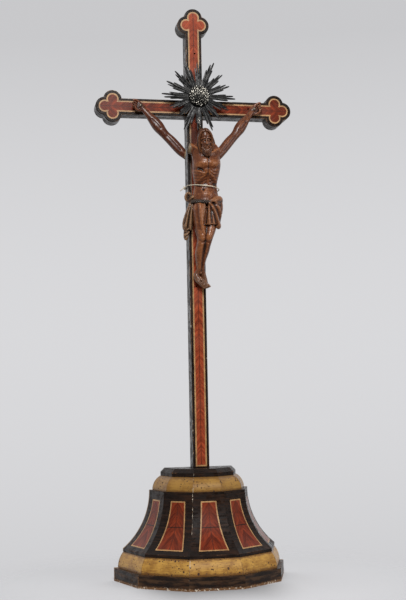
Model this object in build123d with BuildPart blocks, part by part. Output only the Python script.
"""Standing crucifix: an inlaid cross on a faceted base, with a glory of rays and a carved figure.

Millimetres, +Z up, the front faces -Y. The origin is under the middle of the object's box.
Left and right are as seen from the front.
"""

import os
from math import asin, cos, degrees, pi, radians, sin, tan

from build123d import *

os.makedirs("parts", exist_ok=True)

# Whole object
total_height = 870.0
slip = 0.3
veneer = 1.5

# Base: half of a ten-sided figure, corner radii measured from the middle of its back
facet_names = ("far_left", "left", "front", "right", "far_right")
facet_angle = 180.0 / len(facet_names)
plinth_radius = 130.0
plinth_height = 19.0
plinth_facing_thickness = 8.0
lower_moulding_bottom_radius = 124.0
lower_moulding_top_radius = 115.0
lower_moulding_height = 23.5
lower_moulding_depth = 38.0
bell_bottom_radius = 116.3
bell_top_radius = 75.4
bell_height = 89.3
bell_lip_height = 4.0
stave_bottom_depth = 30.0
stave_top_depth = 22.0
panel_side_margin = 12.0
panel_top_margin = 13.0
panel_bottom_margin = 8.0
bell_stringing_width = 1.8
upper_moulding_bottom_radius = 70.4
upper_moulding_height = 20.6
upper_moulding_depth = 27.0
cap_radius = 57.7
cap_height = 11.6
cap_chamfer = 6.0
back_board_thickness = 5.0
socket_block_width = 40.0
socket_block_depth = 34.0

# Cross
bar_width = 24.8
bar_depth = 24.2
half_span = 153.0
upper_arm_length = 157.6
lobe_radius = 14.0
lobe_side = 10.7
lobe_reach = 12.0
edge_round = 1.0
border = 3.9
lobe_border = 4.7
cross_stringing_width = 2.1
inlay_foot_margin = 2.0
tenon_width = 18.0
tenon_depth = 18.0
tenon_length = 64.0
tenon_play = 2.0
nail_hole_radius = 1.3
nail_hole_depth = 15.0
title_hole_side = 1.5
title_hole_rise = 86.7
foot_hole_side = -2.2
foot_hole_drop = 275.4
spare_hole_side = 84.5
spare_hole_rise = 2.0

# Glory of rays, on one stud through the upright
nimbus_side = 4.0
nimbus_rise = 15.3
ray_radius = 57.5
ray_hub_radius = 17.4
ray_root_width = 1.7
ray_waist_width = 2.5
ray_thickness = 1.2
ray_waist_share = 0.62
ray_shares = ((-0.32, 0.70), (-0.17, 0.86), (-0.03, 1.00), (0.13, 0.93), (0.28, 0.74))
# Length of each bundle of rays, from the top one round to the left
bundle_shares = (
    *(0.94, 0.88, 0.81, 0.85, 1.00, 0.79, 0.73, 0.91),
    *(0.85, 0.90, 0.79, 0.82, 0.98, 0.84, 0.82, 0.95),
)
boss_radius = 16.6
boss_height = 9.0
boss_rim_height = 1.5
boss_wall = 1.2
collar_radius = 7.0
collar_length = 12.0
stud_radius = 1.6
nut_radius = 4.2
nut_height = 3.0
nut_recess_radius = 5.5
nut_recess_depth = 5.0

# Carved figure: heights run down from the crown, the rest from the axis and front of the upright
crown_drop = 40.9
corpus_height = 240.0
shoulder_width = 46.0
chest_depth = 35.0

# Sections of the figure: down, sideways, forward, half width, half depth
torso_shares = (
    (0.065, 0.23, 0.69, 0.26, 0.20),
    (0.090, 0.24, 0.63, 0.46, 0.31),
    (0.131, 0.25, 0.60, 0.50, 0.43),
    (0.173, 0.255, 0.60, 0.475, 0.48),
    (0.215, 0.275, 0.61, 0.465, 0.50),
    (0.281, 0.275, 0.56, 0.405, 0.43),
    (0.340, 0.275, 0.49, 0.35, 0.36),
    (0.390, 0.26, 0.49, 0.39, 0.40),
    (0.440, 0.26, 0.50, 0.45, 0.46),
)
waist_shares = torso_shares[6]
cloth_shares = (
    (0.410, 0.25, 0.50, 0.43, 0.45),
    (0.452, 0.25, 0.52, 0.51, 0.55),
    (0.506, 0.23, 0.53, 0.51, 0.55),
    (0.565, 0.21, 0.56, 0.50, 0.49),
    (0.615, 0.20, 0.59, 0.47, 0.44),
)
left_leg_shares = (
    (0.527, 0.00, 0.54, 0.24, 0.37),
    (0.631, 0.015, 0.59, 0.185, 0.31),
    (0.698, 0.04, 0.63, 0.14, 0.26),
    (0.769, 0.01, 0.51, 0.13, 0.23),
    (0.819, 0.01, 0.41, 0.11, 0.19),
    (0.877, 0.00, 0.29, 0.083, 0.14),
    (0.915, -0.02, 0.21, 0.087, 0.14),
)
right_leg_shares = (
    (0.527, 0.41, 0.54, 0.24, 0.37),
    (0.631, 0.305, 0.63, 0.185, 0.31),
    (0.698, 0.24, 0.69, 0.145, 0.26),
    (0.769, 0.155, 0.57, 0.13, 0.23),
    (0.819, 0.125, 0.47, 0.11, 0.19),
    (0.877, 0.085, 0.37, 0.083, 0.14),
    (0.915, 0.09, 0.31, 0.087, 0.13),
)
# Limbs that turn: down, sideways, forward, radius as a share of the shoulder width
left_foot_shares = (
    (0.905, -0.12, 0.17, 0.085),
    (0.935, -0.03, 0.29, 0.110),
    (0.968, 0.10, 0.38, 0.100),
    (0.993, 0.22, 0.40, 0.055),
)
right_foot_shares = (
    (0.905, 0.20, 0.13, 0.075),
    (0.940, 0.13, 0.15, 0.090),
    (0.975, 0.13, 0.17, 0.070),
)
neck_shares = ((0.110, 0.23, 0.63, 0.19), (0.070, 0.21, 0.83, 0.17), (0.030, 0.20, 0.90, 0.15))
hair_shares = ((0.030, 0.40, 0.83, 0.09), (0.065, 0.47, 0.80, 0.115), (0.110, 0.50, 0.74, 0.08))
stump_shares = ((0.125, 0.02, 0.58, 0.19), (0.118, -0.15, 0.56, 0.185), (0.115, -0.26, 0.54, 0.17))
drape_shares = (
    (0.382, -0.30, 0.20, 0.06),
    (0.415, -0.28, 0.24, 0.13),
    (0.460, -0.24, 0.28, 0.12),
    (0.535, -0.30, 0.30, 0.14),
    (0.600, -0.34, 0.30, 0.17),
    (0.650, -0.33, 0.28, 0.15),
    (0.688, -0.36, 0.26, 0.07),
)
# The head runs from crown to beard: along its axis, half width, half depth
crown_side_share = 0.19
crown_front_share = 0.77
beard_side_share = 0.24
beard_front_share = 1.29
beard_down_share = 0.172
head_shares = (
    (0.00, 0.09, 0.13),
    (0.10, 0.20, 0.28),
    (0.28, 0.26, 0.36),
    (0.50, 0.255, 0.35),
    (0.70, 0.22, 0.29),
    (0.86, 0.155, 0.20),
    (1.00, 0.05, 0.07),
)

# Arms, from the nail in the hand to the shoulder
left_hand_reach = 85.4
right_hand_reach = 92.5
hand_front = 4.5
left_shoulder_side = -20.0
left_shoulder_drop = 76.0
left_shoulder_front = 14.5
right_shoulder_side = 30.0
right_shoulder_drop = 75.0
right_shoulder_front = 19.0
arm_radius = 6.6
arm_sag = 0.5
arm_shares = (
    (0.08, 0.0, 0.58),
    (0.20, 0.3, 0.74),
    (0.36, 0.7, 1.00),
    (0.50, 1.0, 0.95),
    (0.60, 0.9, 0.84),
    (0.78, 0.4, 0.92),
    (1.00, 0.0, 0.88),
)
palm_length = 14.0
palm_width = 13.0
palm_thickness = 8.4
knuckle_shares = (0.40, 0.80)
palm_shares = ((-0.62, 0.50, 0.80), (-0.20, 0.90, 0.96), (0.20, 1.00, 1.00), (0.50, 0.86, 0.72))
left_hand_angle = 146.0
right_hand_angle = 41.0
finger_radius = 1.7
finger_reaches = (7.0, 8.0, 9.0, 14.0)
finger_shares = ((0.0, 0.55, 1.0), (0.45, 0.95, 1.0), (0.80, 0.90, 0.9), (1.0, 0.55, 0.7))
shoulder_dowel_radius = 2.5
shoulder_dowel_length = 20.0
nail_radius = 1.1
nail_depth = 15.0
nail_head_radius = 2.6
nail_head_height = 1.6

# Twine round the waist and the upright
string_radius = 0.95
string_ease = 2.7
string_lifts = (1.8, -1.2, -3.6, -4.8, -7.0, -9.0, -4.0, 1.0)
string_gap = 0.5
string_bend_share = 0.45
knot_radius = 2.1
string_tail_length = 10.0
string_tail_direction = (-0.80, 0.25, -0.55)
knot_share = 0.7
string_corner_share = 0.42

# Places that follow from the sizes above
half_angle = facet_angle / 2
flat_share = cos(radians(half_angle))
base_depth = plinth_radius * flat_share
back_y = (base_depth + back_board_thickness) / 2
centre_y = back_y - back_board_thickness
cross_front = centre_y - bar_depth
moulding_z = plinth_height
bell_z = moulding_z + lower_moulding_height
ledge_z = bell_z + bell_height
cap_z = ledge_z + upper_moulding_height
cap_top = cap_z + cap_height
crossing_z = total_height - upper_arm_length
crown_z = crossing_z - crown_drop

cross_back_plane = Plane.XZ.offset(-centre_y)
cross_front_plane = Plane.XZ.offset(-cross_front)


def finish(piece, name):
    """Label a finished piece and write it to its own file."""
    piece.part.label = name
    export_step(piece.part, f"parts/{name}.step")


# Base

def half_decagon(radius):
    """Plan of the base with the given corner radius, for the sketch in hand."""
    corners = []
    for index in range(len(facet_names) + 1):
        angle = radians(index * facet_angle - 90)
        corners.append((radius * sin(angle), -radius * cos(angle)))
    Polygon(*corners, align=None)


def facet_bar(angle, draw_profile, margin=0):
    """A length of the given radial profile on one facet, cut at the mitres less a side margin."""
    outward = Vector(sin(radians(angle)), -cos(radians(angle)), 0)
    along = Vector(cos(radians(angle)), sin(radians(angle)), 0)
    middle = Vector(0, centre_y, 0)
    with BuildPart() as bar:
        with BuildSketch(Plane(middle, x_dir=outward, z_dir=-along)):
            draw_profile()
        extrude(amount=plinth_radius, both=True)
        for end in (-1, 1):
            edge_angle = radians(angle + end * half_angle)
            away = Vector(cos(edge_angle), sin(edge_angle), 0) * end
            cut = Plane(middle - along * (end * margin), z_dir=away)
            split(bisect_by=cut, keep=Keep.BOTTOM)
    return bar.part


def plinth_profile():
    """Upright facing board."""
    outer = base_depth
    inner = outer - plinth_facing_thickness
    Polygon((inner, 0), (outer, 0), (outer, plinth_height), (inner, plinth_height), align=None)


def moulding_profile(bottom_radius, top_radius, bottom_z, height, depth):
    """Quarter-round bar, upright at its foot."""
    foot = bottom_radius * flat_share
    top = top_radius * flat_share
    with BuildLine() as outline:
        arc = TangentArc((foot, bottom_z), (top, bottom_z + height), tangent=(0, 1))
        Polyline(arc @ 1, (foot - depth, bottom_z + height), (foot - depth, bottom_z), arc @ 0)
    make_face(outline.edges())


bell_top_flat = bell_top_radius * flat_share
bell_bottom_flat = bell_bottom_radius * flat_share
bell_drop = bell_height - bell_lip_height
bell_spread = bell_bottom_flat - bell_top_flat
bell_arc_radius = (bell_drop**2 + bell_spread**2) / (2 * bell_spread)
bell_arc_centre = (bell_top_flat + bell_arc_radius, ledge_z)
bell_arc_angle = degrees(asin(bell_drop / bell_arc_radius))


def stave_profile():
    """Board with a hollowed face over a short upright lip."""
    with BuildLine() as outline:
        arc = CenterArc(bell_arc_centre, bell_arc_radius, 180, bell_arc_angle)
        Polyline(
            arc @ 1,
            (bell_bottom_flat, bell_z),
            (bell_bottom_flat - stave_bottom_depth, bell_z),
            (bell_top_flat - stave_top_depth, ledge_z),
            arc @ 0,
        )
    make_face(outline.edges())


def inlay_profile(inset):
    """Veneer-thick band that follows the hollow face, drawn in by the inset at both ends."""
    start = degrees((panel_top_margin + inset) / bell_arc_radius)
    end = bell_arc_angle - degrees((panel_bottom_margin + inset) / bell_arc_radius)
    with BuildLine() as outline:
        face = CenterArc(bell_arc_centre, bell_arc_radius, 180 + start, end - start)
        floor = CenterArc(bell_arc_centre, bell_arc_radius + veneer, 180 + start, end - start)
        Line(face @ 0, floor @ 0)
        Line(face @ 1, floor @ 1)
    make_face(outline.edges())


def lower_profile():
    """Moulding between the plinth and the bell."""
    moulding_profile(
        lower_moulding_bottom_radius,
        lower_moulding_top_radius,
        moulding_z,
        lower_moulding_height,
        lower_moulding_depth,
    )


def upper_profile():
    """Moulding between the bell and the cap."""
    moulding_profile(
        upper_moulding_bottom_radius,
        cap_radius,
        ledge_z,
        upper_moulding_height,
        upper_moulding_depth,
    )


for facet_index, facet_name in enumerate(facet_names):
    facet = (facet_index + 0.5) * facet_angle - 90
    facing_bar = facet_bar(facet, plinth_profile)
    lower_bar = facet_bar(facet, lower_profile)
    stave_bar = facet_bar(facet, stave_profile)
    upper_bar = facet_bar(facet, upper_profile)
    inlay_bar = facet_bar(facet, lambda: inlay_profile(0), panel_side_margin)
    panel_bar = facet_bar(
        facet,
        lambda: inlay_profile(bell_stringing_width),
        panel_side_margin + bell_stringing_width,
    )
    with BuildPart() as plinth_facing:
        add(facing_bar)
    finish(plinth_facing, f"plinth_facing_{facet_name}")
    with BuildPart() as lower_moulding:
        add(lower_bar)
    finish(lower_moulding, f"lower_moulding_{facet_name}")
    with BuildPart() as bell_stave:
        add(stave_bar)
        add(inlay_bar, mode=Mode.SUBTRACT)
    finish(bell_stave, f"bell_stave_{facet_name}")
    with BuildPart() as bell_panel:
        add(panel_bar)
    finish(bell_panel, f"bell_panel_{facet_name}")
    with BuildPart() as bell_stringing:
        add(inlay_bar)
        add(panel_bar, mode=Mode.SUBTRACT)
    finish(bell_stringing, f"bell_stringing_{facet_name}")
    with BuildPart() as upper_moulding:
        add(upper_bar)
    finish(upper_moulding, f"upper_moulding_{facet_name}")

with BuildPart() as base_board:
    with BuildSketch(Plane((0, centre_y, 0))):
        half_decagon(plinth_radius - plinth_facing_thickness / flat_share)
    extrude(amount=plinth_height)
finish(base_board, "base_board")

with BuildPart() as back_board:
    with BuildSketch(Plane.XZ.offset(-back_y)):
        with BuildLine():
            lower_arc = TangentArc(
                (lower_moulding_bottom_radius, moulding_z),
                (lower_moulding_top_radius, bell_z),
                tangent=(0, 1),
            )
            bell_arc = TangentArc(
                (bell_top_radius, ledge_z), (bell_bottom_radius, bell_z + bell_lip_height), tangent=(0, -1)
            )
            upper_arc = TangentArc(
                (upper_moulding_bottom_radius, ledge_z), (cap_radius, cap_z), tangent=(0, 1)
            )
            Polyline((0, 0), (plinth_radius, 0), (plinth_radius, plinth_height), lower_arc @ 0)
            Polyline(lower_arc @ 1, (bell_bottom_radius, bell_z), bell_arc @ 1)
            Line(bell_arc @ 0, upper_arc @ 0)
            Polyline(upper_arc @ 1, (0, cap_z), (0, 0))
        make_face()
        mirror(about=Plane.YZ)
    extrude(amount=back_board_thickness)
finish(back_board, "back_board")

tenon_y = centre_y - bar_depth / 2
mortise_z = cap_top - tenon_length - tenon_play

with BuildPart() as socket_block:
    with BuildSketch(Plane((0, centre_y - socket_block_depth / 2, plinth_height))):
        Rectangle(socket_block_width, socket_block_depth)
    extrude(amount=cap_z - plinth_height)
    with BuildSketch(Plane((0, tenon_y, mortise_z))):
        Rectangle(tenon_width + 2 * slip, tenon_depth + 2 * slip)
    extrude(amount=total_height, mode=Mode.SUBTRACT)
finish(socket_block, "socket_block")

with BuildPart() as cap:
    with BuildSketch(Plane((0, centre_y, cap_z))):
        half_decagon(cap_radius)
        with Locations((0, back_board_thickness / 2)):
            Rectangle(2 * cap_radius, back_board_thickness)
    extrude(amount=cap_height)
    chamfer(cap.faces().sort_by(Axis.Z)[-1].edges().sort_by(Axis.Y)[:-1], length=cap_chamfer)
    with BuildSketch(Plane((0, tenon_y, cap_z))):
        Rectangle(tenon_width + 2 * slip, tenon_depth + 2 * slip)
    extrude(amount=cap_height, mode=Mode.SUBTRACT)
finish(cap, "cap")

# Cross

arms = {"left": (-1, 0), "right": (1, 0), "upper": (0, 1), "lower": (0, -1)}


def trefoil_outline(tip, direction, inset):
    """Three lobes at the end of an arm whose tip and outward direction are given."""
    across = Vector(-direction.Y, direction.X)
    end_lobe = tip - direction * lobe_radius
    side_lobe = end_lobe - direction * lobe_reach
    with Locations(end_lobe, side_lobe + across * lobe_side, side_lobe - across * lobe_side):
        Circle(lobe_radius - inset)


def upright_outline(bar_inset, lobe_inset, bottom):
    """Front view of the upright from the given bottom, drawn in all round by the insets."""
    top = total_height - lobe_radius
    with Locations((0, (top + bottom) / 2)):
        Rectangle(bar_width - 2 * bar_inset, top - bottom)
    trefoil_outline(Vector(0, total_height), Vector(0, 1), lobe_inset)


def crossbar_outline(bar_inset, lobe_inset):
    """Front view of the crossbar, drawn in all round by the insets."""
    with Locations((0, crossing_z)):
        Rectangle(2 * (half_span - lobe_radius), bar_width - 2 * bar_inset)
    for end in (-1, 1):
        trefoil_outline(Vector(end * half_span, crossing_z), Vector(end, 0), lobe_inset)


def arm_wedge(direction):
    """Quarter of the front view that holds one arm, mitred at the crossing."""
    heading = Vector(*direction)
    across = Vector(-heading.Y, heading.X)
    crossing = Vector(0, crossing_z)
    far = crossing + heading * total_height
    corners = (crossing, far + across * total_height, far - across * total_height)
    Polygon(*corners, align=None, mode=Mode.INTERSECT)


def inlay_outline(extra):
    """Front view of the whole inlay, drawn in by an extra inset inside the dark border."""
    upright_outline(border + extra, lobe_border + extra, cap_top + inlay_foot_margin + extra)
    crossbar_outline(border + extra, lobe_border + extra)


nail_places = (
    (-left_hand_reach, crossing_z),
    (right_hand_reach, crossing_z),
)
empty_hole_places = (
    (title_hole_side, crossing_z + title_hole_rise),
    (foot_hole_side, crossing_z - foot_hole_drop),
    (spare_hole_side, crossing_z + spare_hole_rise),
)
nimbus_place = (nimbus_side, crossing_z + nimbus_rise)

with BuildPart() as front_cuts:
    with BuildSketch(cross_front_plane):
        with Locations(*empty_hole_places):
            Circle(nail_hole_radius)
    extrude(amount=-nail_hole_depth)
    with BuildSketch(cross_front_plane):
        with Locations(*nail_places):
            Circle(nail_radius)
    extrude(amount=-nail_depth)
    with BuildSketch(cross_front_plane):
        with Locations(nimbus_place):
            Circle(stud_radius + slip)
    extrude(amount=-bar_depth)

with BuildPart() as inlay_pocket:
    with BuildSketch(cross_front_plane):
        inlay_outline(0)
    extrude(amount=-veneer)

with BuildPart() as upright:
    with BuildSketch(cross_back_plane):
        upright_outline(0, 0, cap_top)
    extrude(amount=bar_depth)
    fillet(upright.faces().sort_by(Axis.Y)[0].edges(), radius=edge_round)
    with BuildSketch(Plane((0, tenon_y, cap_top))):
        Rectangle(tenon_width, tenon_depth)
    extrude(amount=-tenon_length)
    with BuildSketch(cross_front_plane):
        with Locations((0, crossing_z)):
            Rectangle(bar_width, bar_width)
    extrude(amount=-bar_depth / 2, mode=Mode.SUBTRACT)
    with BuildSketch(cross_back_plane):
        with Locations(nimbus_place):
            Circle(nut_recess_radius)
    extrude(amount=nut_recess_depth, mode=Mode.SUBTRACT)
    add(inlay_pocket.part, mode=Mode.SUBTRACT)
    add(front_cuts.part, mode=Mode.SUBTRACT)
finish(upright, "upright")

with BuildPart() as crossbar:
    with BuildSketch(cross_back_plane):
        crossbar_outline(0, 0)
    extrude(amount=bar_depth)
    fillet(crossbar.faces().sort_by(Axis.Y)[0].edges(), radius=edge_round)
    with BuildSketch(cross_back_plane):
        with Locations((0, crossing_z)):
            Rectangle(bar_width, bar_width)
    extrude(amount=bar_depth / 2, mode=Mode.SUBTRACT)
    add(inlay_pocket.part, mode=Mode.SUBTRACT)
    add(front_cuts.part, mode=Mode.SUBTRACT)
finish(crossbar, "crossbar")

for arm_name, arm_direction in arms.items():
    with BuildPart() as cross_panel:
        with BuildSketch(cross_front_plane):
            inlay_outline(cross_stringing_width)
            arm_wedge(arm_direction)
        extrude(amount=-veneer)
        add(front_cuts.part, mode=Mode.SUBTRACT)
    finish(cross_panel, f"cross_panel_{arm_name}")
    with BuildPart() as cross_stringing:
        with BuildSketch(cross_front_plane):
            inlay_outline(0)
            arm_wedge(arm_direction)
        extrude(amount=-veneer)
        add(cross_panel.part, mode=Mode.SUBTRACT)
        add(front_cuts.part, mode=Mode.SUBTRACT)
    finish(cross_stringing, f"cross_stringing_{arm_name}")

# Glory of rays

def nimbus_plane(front):
    """Plane of the rays' centre, the given distance in front of the upright."""
    return Plane((nimbus_place[0], cross_front - front, nimbus_place[1]), x_dir=(1, 0, 0), z_dir=(0, -1, 0))


with BuildPart() as nimbus_collar:
    with BuildSketch(nimbus_plane(0)):
        Circle(collar_radius)
        Circle(stud_radius + slip, mode=Mode.SUBTRACT)
    extrude(amount=collar_length)
finish(nimbus_collar, "nimbus_collar")

ray_pitch = 360 / len(bundle_shares)
ray_front = collar_length + slip

with BuildPart() as nimbus_rays:
    with BuildSketch(nimbus_plane(ray_front)):
        Circle(ray_hub_radius)
        for bundle_index, bundle_share in enumerate(bundle_shares):
            for ray_turn_share, ray_share in ray_shares:
                ray_angle = 90 + (bundle_index + ray_turn_share) * ray_pitch
                ray_length = ray_radius * bundle_share * ray_share
                with Locations(Location((0, 0, 0), (0, 0, ray_angle))):
                    Polygon(
                        (0, -ray_root_width / 2),
                        (ray_length * ray_waist_share, -ray_waist_width / 2),
                        (ray_length, 0),
                        (ray_length * ray_waist_share, ray_waist_width / 2),
                        (0, ray_root_width / 2),
                        align=None,
                    )
        Circle(stud_radius, mode=Mode.SUBTRACT)
    extrude(amount=ray_thickness)
finish(nimbus_rays, "nimbus_rays")

with BuildPart() as nimbus_boss:
    with BuildSketch(Plane(nimbus_plane(ray_front + ray_thickness).origin)):
        with BuildLine():
            dome = TangentArc(
                (0, -boss_rim_height - boss_height), (boss_radius, -boss_rim_height), tangent=(1, 0)
            )
            hollow = TangentArc(
                (0, boss_wall - boss_rim_height - boss_height),
                (boss_radius - boss_wall, -boss_rim_height),
                tangent=(1, 0),
            )
            Polyline(dome @ 1, (boss_radius, 0), (boss_radius - boss_wall, 0), hollow @ 1)
            Line(dome @ 0, hollow @ 0)
        make_face()
    revolve(axis=Axis((nimbus_place[0], 0, nimbus_place[1]), (0, 1, 0)))
finish(nimbus_boss, "nimbus_boss")

nut_front = -bar_depth + nut_recess_depth - slip

with BuildPart() as nimbus_stud:
    with BuildSketch(nimbus_plane(ray_front + ray_thickness)):
        Circle(stud_radius)
    extrude(amount=nut_front - nut_height - ray_front - ray_thickness)
finish(nimbus_stud, "nimbus_stud")

with BuildPart() as nimbus_nut:
    with BuildSketch(nimbus_plane(nut_front)):
        RegularPolygon(nut_radius, side_count=6)
        Circle(stud_radius, mode=Mode.SUBTRACT)
    extrude(amount=-nut_height)
finish(nimbus_nut, "nimbus_nut")

# Carved figure

def place(side, front, height):
    """Point in front of the upright's face."""
    return Vector(side, cross_front - front, height)


def figure_point(down_share, side_share, front_share):
    """Point of the figure from its shares."""
    return place(
        side_share * shoulder_width, front_share * chest_depth, crown_z - down_share * corpus_height
    )


def body_loft(shares, deep=False):
    """Loft level ovals into the part in hand; deep ones are longer from front to back."""
    sections = []
    for down_share, side_share, front_share, half_width_share, half_depth_share in shares:
        half_width = half_width_share * shoulder_width
        half_depth = half_depth_share * chest_depth
        centre = figure_point(down_share, side_share, front_share)
        long_direction = (0, -1, 0) if deep else (1, 0, 0)
        with BuildSketch(Plane(centre, x_dir=long_direction, z_dir=(0, 0, -1))) as section:
            if deep:
                Ellipse(half_depth, half_width)
            else:
                Ellipse(half_width, half_depth)
        sections.append(section.sketch)
    loft(sections)


def limb_loft(points, radii):
    """Loft round sections into the part in hand along a bent line of points."""
    sections = []
    for index, (point, radius) in enumerate(zip(points, radii)):
        heading = points[min(index + 1, len(points) - 1)] - points[max(index - 1, 0)]
        sideways = heading.cross(Vector(0, 1, 0)).normalized()
        with BuildSketch(Plane(point, x_dir=sideways, z_dir=heading)) as section:
            Circle(radius)
        sections.append(section.sketch)
    loft(sections)


def figure_limb(shares):
    """Loft a limb of the figure from its table of shares."""
    points = [figure_point(*row[:3]) for row in shares]
    limb_loft(points, [row[3] * shoulder_width for row in shares])


crown = figure_point(0, crown_side_share, crown_front_share)
beard = figure_point(beard_down_share, beard_side_share, beard_front_share)
head_axis = beard - crown
head_depth_direction = head_axis.cross(Vector(1, 0, 0)).normalized()

right_hand = place(right_hand_reach, hand_front, crossing_z)
left_hand = place(-left_hand_reach, hand_front, crossing_z)
right_shoulder = place(right_shoulder_side, right_shoulder_front, crossing_z - right_shoulder_drop)
left_shoulder = place(left_shoulder_side, left_shoulder_front, crossing_z - left_shoulder_drop)
right_arm_axis = (right_shoulder - right_hand).normalized()

with BuildPart() as right_shoulder_dowel:
    with BuildSketch(Plane(right_shoulder, z_dir=right_arm_axis)):
        Circle(shoulder_dowel_radius)
    extrude(amount=shoulder_dowel_length / 2, both=True)
finish(right_shoulder_dowel, "right_shoulder_dowel")

with BuildPart() as corpus_body:
    body_loft(torso_shares)
    body_loft(cloth_shares)
    body_loft(left_leg_shares, deep=True)
    body_loft(right_leg_shares, deep=True)
    figure_limb(neck_shares)
    figure_limb(stump_shares)
    figure_limb(left_foot_shares)
    figure_limb(right_foot_shares)
    figure_limb(hair_shares)
    for along_share, half_width_share, half_depth_share in head_shares:
        with BuildSketch(Plane(crown + head_axis * along_share, x_dir=head_depth_direction, z_dir=head_axis)):
            Ellipse(half_depth_share * chest_depth, half_width_share * shoulder_width)
    loft()
    split(bisect_by=cross_front_plane, keep=Keep.TOP)
    add(right_shoulder_dowel.part, mode=Mode.SUBTRACT)
finish(corpus_body, "corpus_body")

with BuildPart() as loincloth_drape:
    figure_limb(drape_shares)
    add(corpus_body.part, mode=Mode.SUBTRACT)
finish(loincloth_drape, "loincloth_drape")


def carved_arm(hand, shoulder, hand_angle):
    """Arm, palm and bent fingers, resting on the front of the crossbar."""
    run = shoulder - hand
    sag = Vector(0, 0, -arm_sag)
    heading = Vector(cos(radians(hand_angle)), 0, sin(radians(hand_angle)))
    across = Vector(-heading.Z, 0, heading.X)
    if across.Z < 0:
        across = -across
    with BuildPart() as arm:
        points = [hand + run * row[0] + sag * row[1] for row in arm_shares]
        limb_loft(points, [row[2] * arm_radius for row in arm_shares])
        for along_share, width_share, thickness_share in palm_shares:
            centre = hand + heading * (along_share * palm_length)
            with BuildSketch(Plane(centre, x_dir=across, z_dir=heading)):
                Ellipse(width_share * palm_width / 2, thickness_share * palm_thickness / 2)
        loft()
        for index, reach in enumerate(finger_reaches):
            spread_share = ((index + 0.5) / len(finger_reaches) - 0.5) * knuckle_shares[1]
            knuckle = hand + heading * (knuckle_shares[0] * palm_length)
            knuckle = knuckle + across * (spread_share * palm_width)
            finger_points = []
            for along_share, front_share, _ in finger_shares:
                lift = (front_share - finger_shares[0][1]) * palm_thickness
                finger_points.append(knuckle + heading * (along_share * reach) + Vector(0, -lift, 0))
            limb_loft(finger_points, [row[2] * finger_radius for row in finger_shares])
        split(bisect_by=cross_front_plane, keep=Keep.TOP)
    return arm.part


left_arm_carving = carved_arm(left_hand, left_shoulder, left_hand_angle)
right_arm_carving = carved_arm(right_hand, right_shoulder, right_hand_angle)
nail_seat_front = hand_front + palm_thickness / 2

with BuildPart() as hand_nails:
    with BuildSketch(cross_front_plane.offset(nail_seat_front)):
        with Locations(*nail_places):
            Circle(nail_radius)
    extrude(amount=-nail_seat_front - nail_depth)
    with BuildSketch(cross_front_plane.offset(nail_seat_front)):
        with Locations(*nail_places):
            Circle(nail_head_radius)
    extrude(amount=nail_head_height)
finish(hand_nails, "hand_nails")

with BuildPart() as left_arm:
    add(left_arm_carving)
    add(hand_nails.part, mode=Mode.SUBTRACT)
finish(left_arm, "left_arm")

with BuildPart() as right_arm:
    add(right_arm_carving)
    add(corpus_body.part, mode=Mode.SUBTRACT)
    add(right_shoulder_dowel.part, mode=Mode.SUBTRACT)
    add(hand_nails.part, mode=Mode.SUBTRACT)
finish(right_arm, "right_arm")

# Twine

waist_z = crown_z - waist_shares[0] * corpus_height
waist_side = waist_shares[1] * shoulder_width
waist_front = waist_shares[2] * chest_depth
loop_half_width = waist_shares[3] * shoulder_width + string_ease
loop_half_depth = waist_shares[4] * chest_depth + string_ease
string_corner_radius = 2 * string_radius
string_stand_off = string_radius + string_gap
beside_bar = bar_width / 2 + string_stand_off
behind_bar = -bar_depth - string_stand_off
knot_front = -bar_depth * knot_share

string_route = (
    (-beside_bar, string_stand_off),
    (waist_side - loop_half_width, waist_front + loop_half_depth * string_corner_share),
    (waist_side - loop_half_width * string_corner_share, waist_front + loop_half_depth),
    (waist_side + loop_half_width * string_corner_share, waist_front + loop_half_depth),
    (waist_side + loop_half_width, waist_front + loop_half_depth * string_corner_share),
    (waist_side + loop_half_width, waist_front - loop_half_depth * string_corner_share),
    (beside_bar, behind_bar),
    (-beside_bar, behind_bar),
)
string_points = [
    place(side, front, waist_z + lift) for (side, front), lift in zip(string_route, string_lifts)
]


def string_bend(index):
    """Radius of the twine at a point: tight round the upright's corners, easy over the waist."""
    side, front = string_route[index]
    if abs(side) <= beside_bar and front <= string_stand_off:
        return string_corner_radius
    before = string_points[index] - string_points[index - 1]
    after = string_points[(index + 1) % len(string_points)] - string_points[index]
    turn = radians(before.get_angle(after))
    return string_bend_share * min(before.length, after.length) / tan(turn / 2)


string_bends = [string_bend(index) for index in range(len(string_points))]
string_start = place(-beside_bar, knot_front + string_radius / 2, waist_z + string_lifts[0])
string_end = place(-beside_bar, knot_front - string_radius / 2, waist_z + string_lifts[0])
knot = place(-bar_width / 2 - knot_radius - slip, knot_front, waist_z + string_lifts[0])

with BuildPart() as waist_string:
    with BuildLine() as string_path:
        FilletPolyline(string_start, *string_points, string_end, radius=string_bends)
    with BuildSketch(Plane(string_path.line @ 0, z_dir=string_path.line % 0)):
        Circle(string_radius)
    sweep()
    string_section = pi * string_radius**2
    print("string bend radii", [round(bend, 1) for bend in string_bends])
    print("string volume", waist_string.part.volume, string_section * string_path.wire().length)
    with Locations(knot):
        Sphere(knot_radius)
    with BuildSketch(Plane(knot, z_dir=string_tail_direction)):
        Circle(string_radius)
    extrude(amount=string_tail_length)
finish(waist_string, "waist_string")
